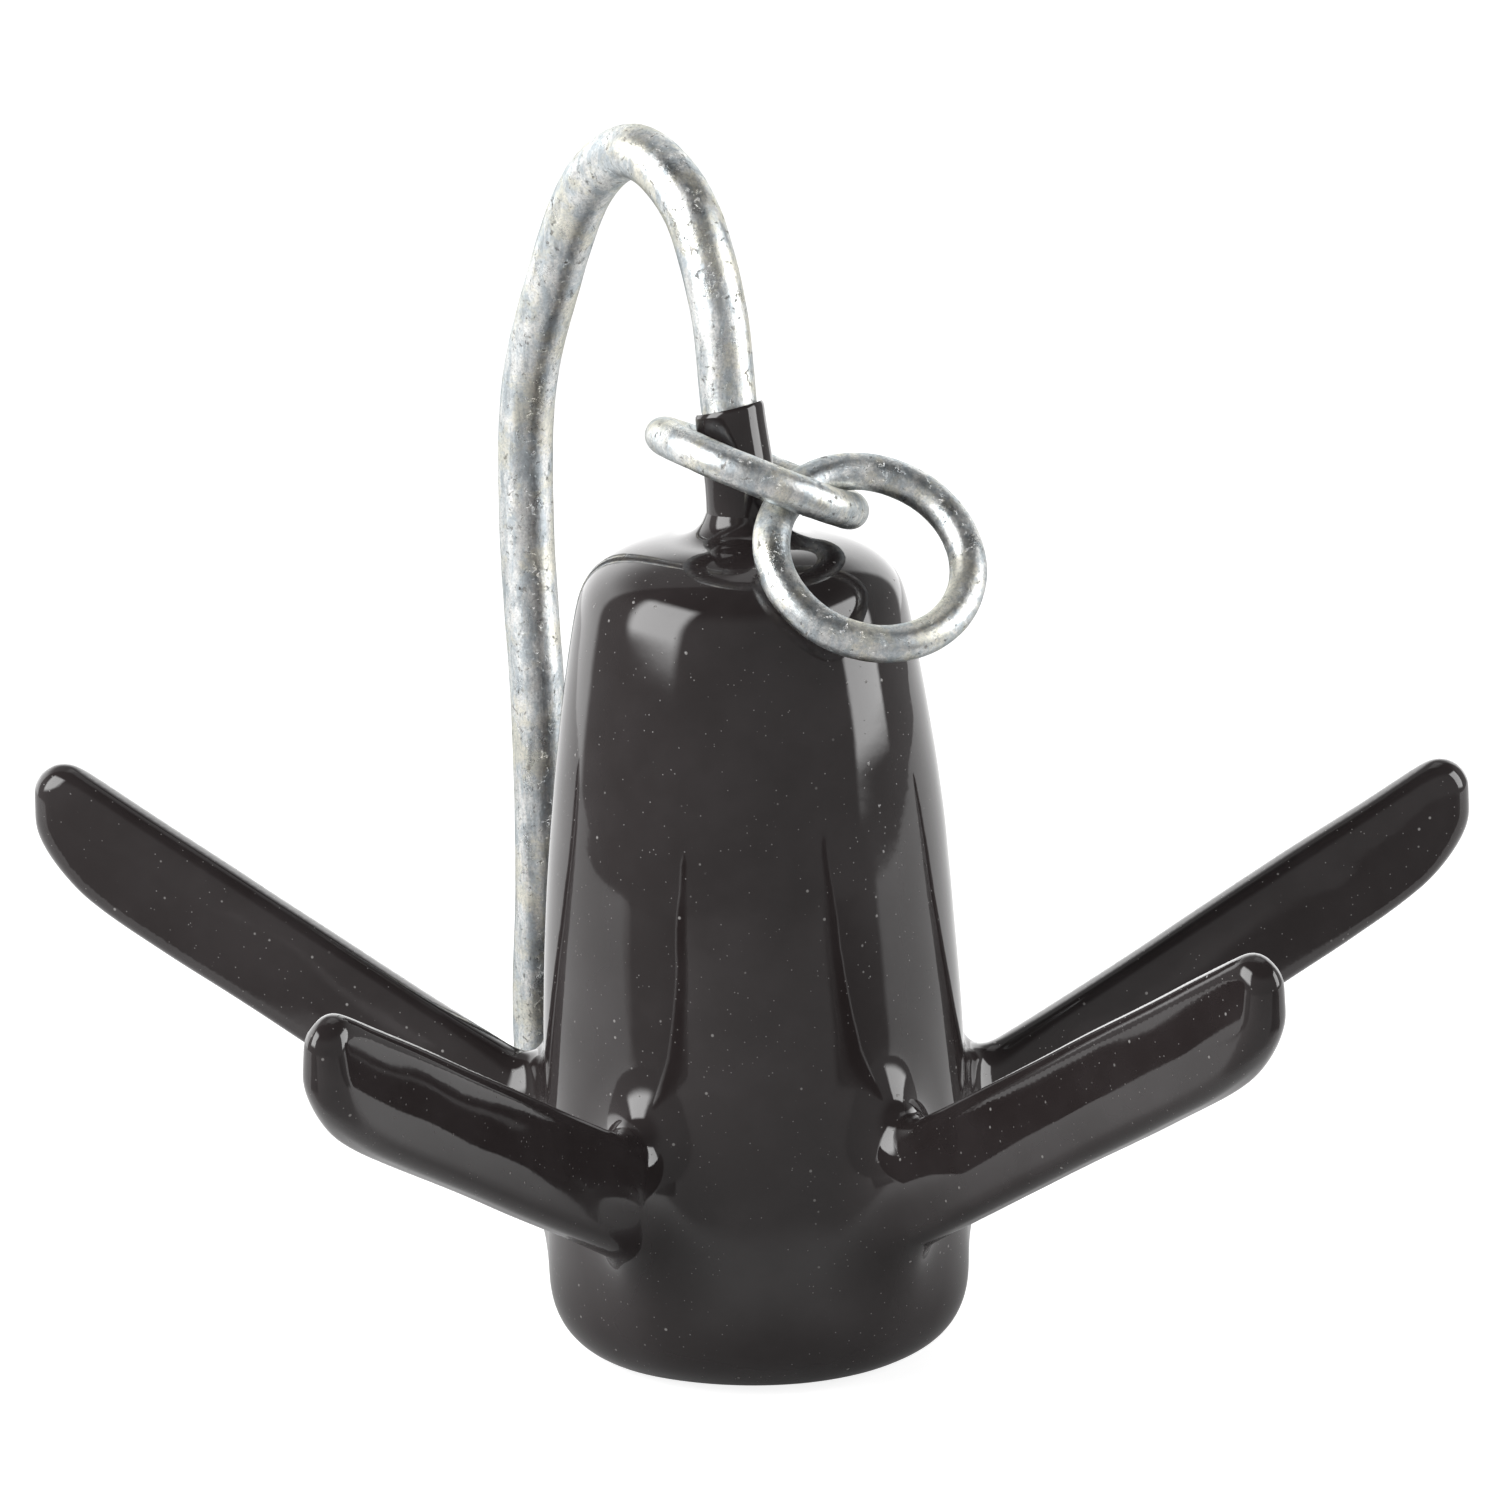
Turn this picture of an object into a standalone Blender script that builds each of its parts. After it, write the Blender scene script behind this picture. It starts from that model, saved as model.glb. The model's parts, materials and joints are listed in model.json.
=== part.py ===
"""River anchor: a cast iron body with five upswept flukes, cast round the ends of a galvanised hoop rod,
dipped in vinyl, with a slip ring that rides on the hoop and a line ring linked through it."""

import math

import bmesh
import bpy
from mathutils import Matrix, Vector

# Driving dimensions, in metres and degrees. The body's axis is Z and its flat base is at Z = 0.
# Bearings turn about Z from -Y, the front, towards +X, the right.
COAT = 0.0015  # thickness of the vinyl skin
GAP = 0.0003  # clearance between pieces that touch

BODY_RADIUS = 0.0454
BODY_HEIGHT = 0.1786
BASE_ROUND = 0.015  # radius of the rounded bottom edge
TAPER_START = 0.040  # height where the wall starts to lean in
SHOULDER_START = 0.1643  # height where the wall turns into the shoulder
SHOULDER_RADIUS = 0.03504
TAPER_POWER = 2.33
CROWN_RADIUS = 0.0124  # where the shoulder meets the neck's flare
BODY_SEGMENTS = 40
SHOULDER_STEPS = 5
WALL_STEPS = 6
BASE_ROUND_STEPS = 4

FLUKE_ROOT_RADIUS = 0.044
FLUKE_ROOT_HEIGHT = 0.0414  # height of a fluke's middle line at its root radius
FLUKE_DEPTH = 0.0242
FLUKE_WIDTH = 0.0115
FLUKE_EDGE_ROUND = 0.0034
FLUKE_TIP_ROUND = 0.0068  # upper corner of the tip
FLUKE_TIP_DROP = 0.0109  # height of the curve under the tip's end face
FLUKE_TIP_SWEEP = 0.0268  # length of that curve along the fluke's underside
FLUKE_BURIED = 0.022  # how far the root runs on into the body
FLUKE_TIP_STEPS = 6  # straight lines in each of the tip's two curves
# Name, bearing, slope and outer radius of each fluke. A sand casting's flukes differ a little.
FLUKES = (
    ("front_left", -32.0, 27.2, 0.1647),
    ("front_right", 39.3, 28.7, 0.1657),
    ("rear_right", 108.1, 27.3, 0.1662),
    ("rear", 180.0, 28.4, 0.1651),
    ("rear_left", -108.2, 30.4, 0.1637),
)

ROD_RADIUS = 0.0060
HOOP_BEARING = -143.0
# The hoop's middle line as distance out along its bearing and height, from its end in the crown to its foot.
HOOP_ROUTE = (
    (-0.0012, 0.1400),
    (-0.0010, 0.1650),
    (-0.0005, 0.1880),
    (0.0027, 0.2060),
    (0.0059, 0.2275),
    (0.0156, 0.2476),
    (0.0334, 0.2563),
    (0.0510, 0.2467),
    (0.0647, 0.2240),
    (0.0752, 0.1980),
    (0.0773, 0.1660),
    (0.0752, 0.1270),
    (0.0756, 0.0900),
    (0.0783, 0.0600),
    (0.0770, 0.0420),
    (0.0690, 0.0285),
    (0.0560, 0.0225),
    (0.0430, 0.0210),
    (0.0260, 0.0210),
)
HOOP_STEPS = 3  # stations between two points of the route
ROD_SIDES = 14

SLEEVE_RADIUS = 0.0075
NECK_SLEEVE_STEPS = 10
FOOT_SLEEVE_STEPS = 5
NECK_SLEEVE_TOP = 0.2062
NECK_FLARE_TOP = 0.1840
FOOT_SLEEVE_REACH = 0.0600  # distance from the body's axis at which the vinyl on the rod's foot is cut

RING_WIRE_RADIUS = 0.0040
RING_RADIUS = 0.0212  # to the middle of the wire
RING_SEGMENTS = 40
RING_SIDES = 12
SLIP_RING_CENTRE = (0.0039, -0.0071, 0.1932)
SLIP_RING_TILT = (-8.4, 23.6)  # about X, then about Y
LINE_RING_CENTRE = (0.0270, -0.0238, 0.1781)
LINE_RING_TILT = (43.3, 19.9)
# The slip ring rides up the hoop by turning about this axis, and the line ring swings up about the other one.
SLIP_RING_PIVOT = (-0.0328, 0.0435, 0.1920)
SLIP_RING_AXIS = (-0.5757, -0.7530, 0.3187)
LINE_RING_PIVOT = (0.0224, -0.0117, 0.1849)
LINE_RING_AXIS = (-0.150, -0.891, 0.429)

# Name, base colour, roughness and metallic of each finish.
VINYL = ("black_vinyl", (0.021, 0.018, 0.019, 1.0), 0.18, 0.0)
ZINC = ("galvanised_steel", (0.56, 0.57, 0.56, 1.0), 0.38, 1.0)
IRON = ("cast_iron", (0.13, 0.125, 0.12, 1.0), 0.7, 0.6)

SHARP_ANGLE = 35.0  # edges that turn more than this are shaded as creases
BEVEL_ANGLE = 50.0  # edges that turn more than this are rounded
BEVEL_SEGMENTS = 3
MERGE_DISTANCE = 1e-6


def clear_scene():
    for old in list(bpy.data.objects):
        bpy.data.objects.remove(old, do_unlink=True)


def material(name, colour, roughness, metallic):
    made = bpy.data.materials.new(name)
    made.use_nodes = True
    made.diffuse_color = colour
    shader = made.node_tree.nodes["Principled BSDF"]
    shader.inputs["Base Color"].default_value = colour
    shader.inputs["Roughness"].default_value = roughness
    shader.inputs["Metallic"].default_value = metallic
    return made


def add_object(name, mesh, finish=None):
    """A visible part when it has a finish, or else a hidden cutter."""
    made = bpy.data.objects.new(name, mesh)
    bpy.context.scene.collection.objects.link(made)
    if finish is None:
        made.hide_render = True
        made.display_type = "WIRE"
    else:
        mesh.materials.append(finish)
        mesh.shade_smooth()
        mesh.set_sharp_from_angle(angle=math.radians(SHARP_ANGLE))
    return made


def boolean(target, cutter, operation="DIFFERENCE"):
    step = target.modifiers.new(f"{operation.lower()}_{cutter.name}", "BOOLEAN")
    step.object = cutter
    step.operation = operation
    step.solver = "EXACT"


def arc(centre, radii, start, end, count):
    """Points on an ellipse from the start angle to the end angle, both included."""
    points = []
    for i in range(count + 1):
        angle = math.radians(start + (end - start) * i / count)
        points.append((centre[0] + radii[0] * math.cos(angle), centre[1] + radii[1] * math.sin(angle)))
    return points


def wall_radius(level):
    """Radius of the body's outer wall, straight at the bottom and leaning in ever faster towards the top."""
    rise = max(0.0, level - TAPER_START) / (SHOULDER_START - TAPER_START)
    return BODY_RADIUS - (BODY_RADIUS - SHOULDER_RADIUS) * rise**TAPER_POWER


def body_profile(inset):
    """(radius, height) points from the crown's middle down the outside to the base's middle."""
    points = [(0.0, BODY_HEIGHT - inset)]
    shoulder = (SHOULDER_RADIUS - CROWN_RADIUS - inset, BODY_HEIGHT - SHOULDER_START - inset)
    points += arc((CROWN_RADIUS, SHOULDER_START), shoulder, 90, 0, SHOULDER_STEPS)
    for i in range(1, WALL_STEPS):
        level = SHOULDER_START + (BASE_ROUND - SHOULDER_START) * i / WALL_STEPS
        points.append((wall_radius(level) - inset, level))
    corner = BASE_ROUND - inset
    points += arc((BODY_RADIUS - BASE_ROUND, BASE_ROUND), (corner, corner), 0, -90, BASE_ROUND_STEPS)
    points.append((0.0, inset))
    return points


def body_mesh(name, inset):
    """The body's profile spun about Z."""
    bm = bmesh.new()
    verts = [bm.verts.new((radius, 0.0, level)) for radius, level in body_profile(inset)]
    edges = [bm.edges.new(pair) for pair in zip(verts, verts[1:])]
    bmesh.ops.spin(
        bm,
        geom=verts + edges,
        cent=(0, 0, 0),
        axis=(0, 0, 1),
        angle=2 * math.pi,
        steps=BODY_SEGMENTS,
        use_merge=True,
    )
    bmesh.ops.remove_doubles(bm, verts=bm.verts, dist=MERGE_DISTANCE)
    bmesh.ops.recalc_face_normals(bm, faces=bm.faces)
    mesh = bpy.data.meshes.new(name)
    bm.to_mesh(mesh)
    bm.free()
    return mesh


def fluke_outline(slope, tip, inset):
    """Side view of a fluke as (distance out, height): a straight bar with an upright end face, its upper corner
    rounded and its lower corner swept back in a long curve."""
    along = Vector((math.cos(slope), math.sin(slope)))
    across = Vector((-along.y, along.x))
    middle = Vector((FLUKE_ROOT_RADIUS, FLUKE_ROOT_HEIGHT))
    half = FLUKE_DEPTH / 2 - inset
    end = tip - inset
    round_ = FLUKE_TIP_ROUND - inset
    buried = FLUKE_BURIED * along
    upper = middle + across * half
    lower = middle - across * half
    centre_out = end - round_
    centre_up = upper.y + (-round_ - (centre_out - upper.x) * across.x) / across.y
    centre = (centre_out, centre_up)
    upper_corner = arc(centre, (round_, round_), math.degrees(slope) + 90, 0, FLUKE_TIP_STEPS)
    points = [upper - buried]
    points += [Vector(point) for point in upper_corner]
    corner = lower + along * ((end - lower.x) / along.x)
    start = corner + Vector((0, FLUKE_TIP_DROP))
    finish = corner - along * FLUKE_TIP_SWEEP
    for i in range(FLUKE_TIP_STEPS + 1):
        t = i / FLUKE_TIP_STEPS
        points.append((1 - t) ** 2 * start + 2 * t * (1 - t) * corner + t**2 * finish)
    points.append(lower - buried)
    return points


def fluke_mesh(name, bearing, slope, tip, inset):
    """A fluke's outline extruded across its width and turned to its bearing."""
    half = FLUKE_WIDTH / 2 - inset
    bm = bmesh.new()
    outline = fluke_outline(math.radians(slope), tip, inset)
    face = bm.faces.new([bm.verts.new((half, -point.x, point.y)) for point in outline])
    pulled = bmesh.ops.extrude_face_region(bm, geom=[face])
    moved = [item for item in pulled["geom"] if isinstance(item, bmesh.types.BMVert)]
    bmesh.ops.translate(bm, vec=(-2 * half, 0, 0), verts=moved)
    bmesh.ops.recalc_face_normals(bm, faces=bm.faces)
    turn = Matrix.Rotation(math.radians(bearing), 3, "Z")
    bmesh.ops.rotate(bm, cent=(0, 0, 0), matrix=turn, verts=bm.verts)
    mesh = bpy.data.meshes.new(name)
    bm.to_mesh(mesh)
    bm.free()
    return mesh


def round_edges(target, width):
    bevel = target.modifiers.new("rounded_edges", "BEVEL")
    bevel.width = width
    bevel.segments = BEVEL_SEGMENTS
    bevel.limit_method = "ANGLE"
    bevel.angle_limit = math.radians(BEVEL_ANGLE)


def hoop_path():
    """The hoop's middle line in world space: a Catmull-Rom curve through its route."""
    bearing = math.radians(HOOP_BEARING)
    out = Vector((math.sin(bearing), -math.cos(bearing), 0))
    knots = [out * distance + Vector((0, 0, level)) for distance, level in HOOP_ROUTE]
    knots = [2 * knots[0] - knots[1]] + knots + [2 * knots[-1] - knots[-2]]
    path = []
    for a, b, c, d in zip(knots, knots[1:], knots[2:], knots[3:]):
        for i in range(HOOP_STEPS):
            t = i / HOOP_STEPS
            square = (2 * a - 5 * b + 4 * c - d) * t**2
            cube = (3 * b - a - 3 * c + d) * t**3
            path.append((2 * b + (c - a) * t + square + cube) / 2)
    path.append(knots[-2])
    return path


def tube_mesh(name, path, radii):
    """A round tube along a path that lies in the hoop's plane, with a radius for each point."""
    bearing = math.radians(HOOP_BEARING)
    sideways = Vector((math.cos(bearing), math.sin(bearing), 0))
    bm = bmesh.new()
    rings = []
    for i, (point, radius) in enumerate(zip(path, radii)):
        ahead = path[min(i + 1, len(path) - 1)] - path[max(i - 1, 0)]
        outward = ahead.normalized().cross(sideways)
        ring = []
        for k in range(ROD_SIDES):
            angle = 2 * math.pi * k / ROD_SIDES
            spoke = math.cos(angle) * sideways + math.sin(angle) * outward
            ring.append(bm.verts.new(point + radius * spoke))
        rings.append(ring)
    for pair in zip(rings, rings[1:]):
        edges = [edge_of(bm, loop, k) for loop in pair for k in range(ROD_SIDES)]
        bmesh.ops.bridge_loops(bm, edges=edges)
    bm.faces.new(rings[0])
    bm.faces.new(rings[-1])
    bmesh.ops.recalc_face_normals(bm, faces=bm.faces)
    mesh = bpy.data.meshes.new(name)
    bm.to_mesh(mesh)
    bm.free()
    return mesh


def edge_of(bm, loop, k):
    """The edge between two neighbours on a loop of vertices, made when it isn't there yet."""
    pair = (loop[k], loop[(k + 1) % len(loop)])
    return bm.edges.get(pair) or bm.edges.new(pair)


def resampled(path, start, end, count):
    """Points at equal steps along a path between two distances from its first point."""
    lengths = [0.0]
    for a, b in zip(path, path[1:]):
        lengths.append(lengths[-1] + (b - a).length)
    points = []
    for i in range(count + 1):
        wanted = start + (end - start) * i / count
        k = max(j for j in range(len(path) - 1) if lengths[j] <= wanted)
        share = (wanted - lengths[k]) / (lengths[k + 1] - lengths[k])
        points.append(path[k].lerp(path[k + 1], share))
    return points


def distance_where(path, measure, wanted):
    """Distance along the path at which measure(point) first reaches the wanted value."""
    total = 0.0
    for a, b in zip(path, path[1:]):
        step = (b - a).length
        before = measure(a)
        after = measure(b)
        if before < wanted <= after:
            return total + step * (wanted - before) / (after - before)
        total += step
    return total


def height(point):
    return point.z


def reach(point):
    """Distance from the body's axis."""
    return point.to_2d().length


def joint_empty(name, position, axis):
    """An empty on a joint, with its own Z along the joint's axis."""
    made = bpy.data.objects.new(name, None)
    bpy.context.scene.collection.objects.link(made)
    turn = Vector(axis).to_track_quat("Z", "Y").to_matrix().to_4x4()
    made.matrix_world = Matrix.Translation(position) @ turn
    return made


def hang_from(parent, child):
    """Parents the child and leaves it where it is."""
    child.parent = parent
    child.matrix_parent_inverse = parent.matrix_world.inverted()


def ring_object(name, centre, tilt, finish):
    """A closed wire ring, with its origin at its middle."""
    bm = bmesh.new()
    upright = Matrix.Rotation(math.pi / 2, 4, "X")
    profile = bmesh.ops.create_circle(
        bm,
        segments=RING_SIDES,
        radius=RING_WIRE_RADIUS,
        matrix=Matrix.Translation((RING_RADIUS, 0, 0)) @ upright,
    )
    bmesh.ops.spin(
        bm,
        geom=profile["verts"] + bm.edges[:],
        cent=(0, 0, 0),
        axis=(0, 0, 1),
        angle=2 * math.pi,
        steps=RING_SEGMENTS,
        use_merge=True,
    )
    bmesh.ops.recalc_face_normals(bm, faces=bm.faces)
    mesh = bpy.data.meshes.new(name)
    bm.to_mesh(mesh)
    bm.free()
    made = add_object(name, mesh, finish)
    made.location = centre
    made.rotation_euler = (math.radians(tilt[0]), math.radians(tilt[1]), 0)
    return made


def build():
    clear_scene()
    vinyl = material(*VINYL)
    zinc = material(*ZINC)
    iron = material(*IRON)

    path = hoop_path()
    whole_rod = [ROD_RADIUS] * len(path)
    bore_radius = ROD_RADIUS + GAP
    add_object("hoop_rod", tube_mesh("hoop_rod", path, whole_rod), zinc)
    longer = [2 * path[0] - path[1]] + path + [2 * path[-1] - path[-2]]
    rod_bore = add_object("rod_bore", tube_mesh("rod_bore", longer, [bore_radius] * len(longer)))

    skin_inside = add_object("skin_inside", body_mesh("skin_inside", COAT))
    skin_outside = add_object("skin_outside", body_mesh("skin_outside", -GAP))
    casting = add_object("iron_casting", body_mesh("iron_casting", COAT + GAP), iron)
    body_coat = add_object("body_coat", body_mesh("body_coat", 0.0), vinyl)
    boolean(body_coat, skin_inside)

    for side, bearing, slope, tip in FLUKES:
        name = f"core_{side}"
        core = add_object(name, fluke_mesh(name, bearing, slope, tip, COAT + GAP))
        round_edges(core, FLUKE_EDGE_ROUND - COAT)
        boolean(casting, core, "UNION")
        name = f"hollow_{side}"
        hollow = add_object(name, fluke_mesh(name, bearing, slope, tip, COAT))
        round_edges(hollow, FLUKE_EDGE_ROUND - COAT)
        boolean(body_coat, hollow)
        name = f"fluke_coat_{side}"
        fluke_coat = add_object(name, fluke_mesh(name, bearing, slope, tip, 0.0), vinyl)
        round_edges(fluke_coat, FLUKE_EDGE_ROUND)
        boolean(fluke_coat, hollow)
        boolean(fluke_coat, skin_outside)
    boolean(casting, rod_bore)
    boolean(body_coat, rod_bore)

    neck_start = distance_where(path, height, BODY_HEIGHT + GAP)
    neck_end = distance_where(path, height, NECK_SLEEVE_TOP)
    neck_path = resampled(path, neck_start, neck_end, NECK_SLEEVE_STEPS)
    neck_radii = []
    for point in neck_path:
        rise = min(1.0, (point.z - BODY_HEIGHT) / (NECK_FLARE_TOP - BODY_HEIGHT))
        flare = 1 - math.sqrt(1 - (1 - rise) ** 2)
        neck_radii.append(SLEEVE_RADIUS + (CROWN_RADIUS - SLEEVE_RADIUS) * flare)
    neck_sleeve = add_object("neck_sleeve", tube_mesh("neck_sleeve", neck_path, neck_radii), vinyl)
    boolean(neck_sleeve, rod_bore)
    boolean(neck_sleeve, skin_outside)

    backwards = path[::-1]
    foot_start = distance_where(backwards, reach, BODY_RADIUS - COAT)
    foot_end = distance_where(backwards, reach, FOOT_SLEEVE_REACH)
    foot_path = resampled(backwards, foot_start, foot_end, FOOT_SLEEVE_STEPS)
    foot_radii = [SLEEVE_RADIUS] * len(foot_path)
    foot_sleeve = add_object("foot_sleeve", tube_mesh("foot_sleeve", foot_path, foot_radii), vinyl)
    boolean(foot_sleeve, rod_bore)
    boolean(foot_sleeve, skin_outside)

    slip_ring = ring_object("slip_ring", SLIP_RING_CENTRE, SLIP_RING_TILT, zinc)
    slip_joint = joint_empty("slip_ring_joint", SLIP_RING_PIVOT, SLIP_RING_AXIS)
    hang_from(slip_joint, slip_ring)
    line_ring = ring_object("line_ring", LINE_RING_CENTRE, LINE_RING_TILT, zinc)
    line_joint = joint_empty("line_ring_joint", LINE_RING_PIVOT, LINE_RING_AXIS)
    hang_from(line_joint, line_ring)
    hang_from(slip_joint, line_joint)


build()
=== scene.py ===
"""Looks of the river anchor: dipped vinyl skin, two cut sleeves, galvanised hoop and two rings."""

import json
import math

import bmesh
import bpy
import numpy as np
from mathutils import Matrix, Vector

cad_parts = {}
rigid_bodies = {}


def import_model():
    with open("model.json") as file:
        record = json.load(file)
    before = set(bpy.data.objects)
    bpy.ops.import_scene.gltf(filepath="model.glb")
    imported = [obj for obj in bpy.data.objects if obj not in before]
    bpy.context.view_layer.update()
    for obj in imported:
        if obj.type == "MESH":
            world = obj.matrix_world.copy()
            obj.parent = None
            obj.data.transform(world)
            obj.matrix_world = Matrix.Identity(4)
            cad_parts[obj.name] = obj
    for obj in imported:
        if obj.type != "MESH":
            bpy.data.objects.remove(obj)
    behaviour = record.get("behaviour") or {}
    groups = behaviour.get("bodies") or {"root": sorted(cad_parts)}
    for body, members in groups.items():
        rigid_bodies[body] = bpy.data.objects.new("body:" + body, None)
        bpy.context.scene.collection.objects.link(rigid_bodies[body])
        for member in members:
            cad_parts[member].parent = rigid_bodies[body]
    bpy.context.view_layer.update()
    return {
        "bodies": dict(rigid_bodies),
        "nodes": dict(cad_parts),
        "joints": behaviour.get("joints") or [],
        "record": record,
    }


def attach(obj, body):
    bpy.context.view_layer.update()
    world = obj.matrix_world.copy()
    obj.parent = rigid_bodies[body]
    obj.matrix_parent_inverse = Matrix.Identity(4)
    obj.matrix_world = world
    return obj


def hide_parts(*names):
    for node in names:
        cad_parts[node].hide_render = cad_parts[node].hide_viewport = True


# Dimensions of the CAD model, in metres and degrees. Bearings turn about Z from -Y towards +X.
BODY_RADIUS = 0.0454
BODY_HEIGHT = 0.1786
BASE_ROUND = 0.015
TAPER_START = 0.040
SHOULDER_START = 0.1643
SHOULDER_RADIUS = 0.03504
TAPER_POWER = 2.33
CROWN_RADIUS = 0.0124

FLUKE_ROOT_RADIUS = 0.044
FLUKE_ROOT_HEIGHT = 0.0414
FLUKE_DEPTH = 0.0242
FLUKE_WIDTH = 0.0115
FLUKE_EDGE_ROUND = 0.0034
FLUKE_TIP_ROUND = 0.0068
FLUKE_TIP_DROP = 0.0109
FLUKE_TIP_SWEEP = 0.0268
FLUKE_BURIED = 0.022
FLUKES = (
    ("front_left", -32.0, 27.2, 0.1647),
    ("front_right", 39.3, 28.7, 0.1657),
    ("rear_right", 108.1, 27.3, 0.1662),
    ("rear", 180.0, 28.4, 0.1651),
    ("rear_left", -108.2, 30.4, 0.1637),
)

ROD_RADIUS = 0.0060
HOOP_BEARING = -143.0
HOOP_ROUTE = (
    (-0.0012, 0.1400),
    (-0.0010, 0.1650),
    (-0.0005, 0.1880),
    (0.0027, 0.2060),
    (0.0059, 0.2275),
    (0.0156, 0.2476),
    (0.0334, 0.2563),
    (0.0510, 0.2467),
    (0.0647, 0.2240),
    (0.0752, 0.1980),
    (0.0773, 0.1660),
    (0.0752, 0.1270),
    (0.0756, 0.0900),
    (0.0783, 0.0600),
    (0.0770, 0.0420),
    (0.0690, 0.0285),
    (0.0560, 0.0225),
    (0.0430, 0.0210),
    (0.0260, 0.0210),
)
SLEEVE_RADIUS = 0.0075
NECK_SLEEVE_TOP = 0.2062
FOOT_SLEEVE_REACH = 0.0600

RING_WIRE_RADIUS = 0.0040
RING_RADIUS = 0.0212
# Name, body and CAD node, centre, tilt about X and Y, bearing of the weld and seed of each ring.
RINGS = (
    ("slip_ring_wire", "slip_ring", (0.0039, -0.0071, 0.1932), (-8.4, 23.6), -62.0, 31),
    ("line_ring_wire", "line_ring", (0.0270, -0.0238, 0.1781), (43.3, 19.9), 150.0, 41),
)

# How finely the shapes are cut.
SHOULDER_POINTS = 24
WALL_POINTS = 60
BASE_ROUND_POINTS = 20
FLUKE_TIP_POINTS = 20
FLUKE_SWEEP_POINTS = 24
HOOP_STEPS = 8  # points between two knots of the hoop's route
FIELD_HOOP_STEPS = 4  # the same where the hoop only shapes the skin
FIELD_MARGIN = 0.03
FIELD_STEP = 0.0005
LEAST_EDGE = 1e-18  # squared length under which an outline's edge is skipped
LAST_CELL = 1.001  # keeps a lookup inside the last cell of a table
GRADIENT_STEP = 0.0002
LEAST_SLOPE = 0.3  # keeps the pull on a vertex finite where the field is flat
LARGEST_PULL = 0.002
EVENING = 0.5  # share of the way that a vertex moves towards its neighbours' middle
DRAW_ROUNDS = 6
VOXEL = 0.0010  # size of the skin's faces
FIRST_VOXEL = VOXEL * 1.6
LATHE_SEGMENTS = 96
COLLAR_SIDES = 24

# How the vinyl lies on the iron.
PROFILE_STEP = 0.0010
PROFILE_ROUNDS = 22  # averaging rounds, which ease the profile over about 3 mm
SKIN_INSET = 0.00012  # keeps the ripples inside the CAD box
ROOT_FILLET = 0.0120  # how far the vinyl fills the corner round a fluke's root
ROOT_OVAL = (0.0128, 0.0078)  # half the depth and width of the oval that a fluke's root is
ROOT_DEPTH = 0.030  # distance from the body's axis at which that oval ends, inside the body
ROOT_OVAL_END = 0.0740  # distance out at which the bar starts to turn into the oval
ROOT_OVAL_LENGTH = 0.0280
NOSE_LENGTH = 0.0240  # the part of a fluke that narrows towards its tip
NOSE_TAPER = 0.0005
NOSE_ROUND = 0.0022  # how much rounder its edges get there
NOSE_ROUND_RATE = 2.0  # the rounding starts a little before the nose's middle
NOSE_ROUND_DELAY = 0.9
UPPER_DRAFT = 0.0011  # how much a fluke narrows from its middle to its upper edge
UPPER_DRAFT_SHIFT = 0.2  # it starts this share of the half depth below the middle
UPPER_DRAFT_POWER = 1.35
LOWER_DRAFT = 0.0003
COLLAR_INSET = 0.0001  # how far the skin's collars lie inside the sleeves' surface
NECK_SPAN = (0.150, 0.186)  # heights between which the hoop carries the neck's collar
NECK_REACH = 0.02
NECK_FILLET = 0.0085
FOOT_TOP = 0.0235  # the foot's collar is on the hoop below this height and nearer than this reach
FOOT_REACH = 0.054
FOOT_FILLET = 0.0060
LUMP_RADIUS = 0.0034  # the drip that stays in the corner over each fluke
LUMP_LIFT = 0.0010  # above the fluke's upper edge
LUMP_SINK = 0.0008  # into the wall
LUMP_ASIDE = 0.0004
LUMP_FILLET = 0.0022

# Unevenness as waves: the range of their lengths, their height and how many there are.
SKIN_WAVES = ((11, (0.030, 0.060), 0.00012, 14), (12, (0.010, 0.022), 0.000018, 16))  # seed first
ROD_WAVES = ((21, (0.007, 0.020), 0.00003, 20), (22, (0.0025, 0.005), 0.000010, 24))  # seed first
RING_WAVES = (((0.005, 0.014), 0.00003, 18), ((0.002, 0.004), 0.00001, 20))  # seeds in RINGS

SLEEVE_SIDES = 64
SLEEVE_STATIONS = 60
SLEEVE_SEED = 5
SLEEVE_LOBES = (2, 3, 5)  # how many times each slow swell goes round the sleeve
SLEEVE_SWELL = 0.00005
SLEEVE_WAVE = 0.00008  # height of the wave along the sleeve
SLEEVE_WAVE_TURN = 9.0  # radians that the wave turns over the sleeve's length
CUT_ROUNDS = (0.00008, 0.00035)  # how much the last two rings draw in at the knife cut
CUT_START = 0.6  # share of a sleeve's length at which its rings start to lean
CUT_DEPTH = 0.0025  # how far the cut's inner wall goes down along the rod
NECK_POINTS = 40
NECK_SLEEVE_START = 0.1760
NECK_CUT_TRIM = 0.0006
NECK_CUT_LEAN = (0.10, 0.02, 0.0)
FOOT_POINTS = 30
FOOT_SLEEVE_START = 0.0450
FOOT_CUT_TRIM = 0.0004
FOOT_CUT_LEAN = (0.0, 0.03, 0.06)
SHARP_ANGLE = 40.0

ROD_STATIONS = 420
ROD_SIDES = 48
RING_STATIONS = 240
RING_SIDES = 40
RING_INSET = 0.00005
SEAM_GROOVE = (0.00030, 0.00028)  # depth and half width of the groove at a ring's weld
SEAM_BEAD = (0.00006, 0.0016)  # height and half width of the bead round it

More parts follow.
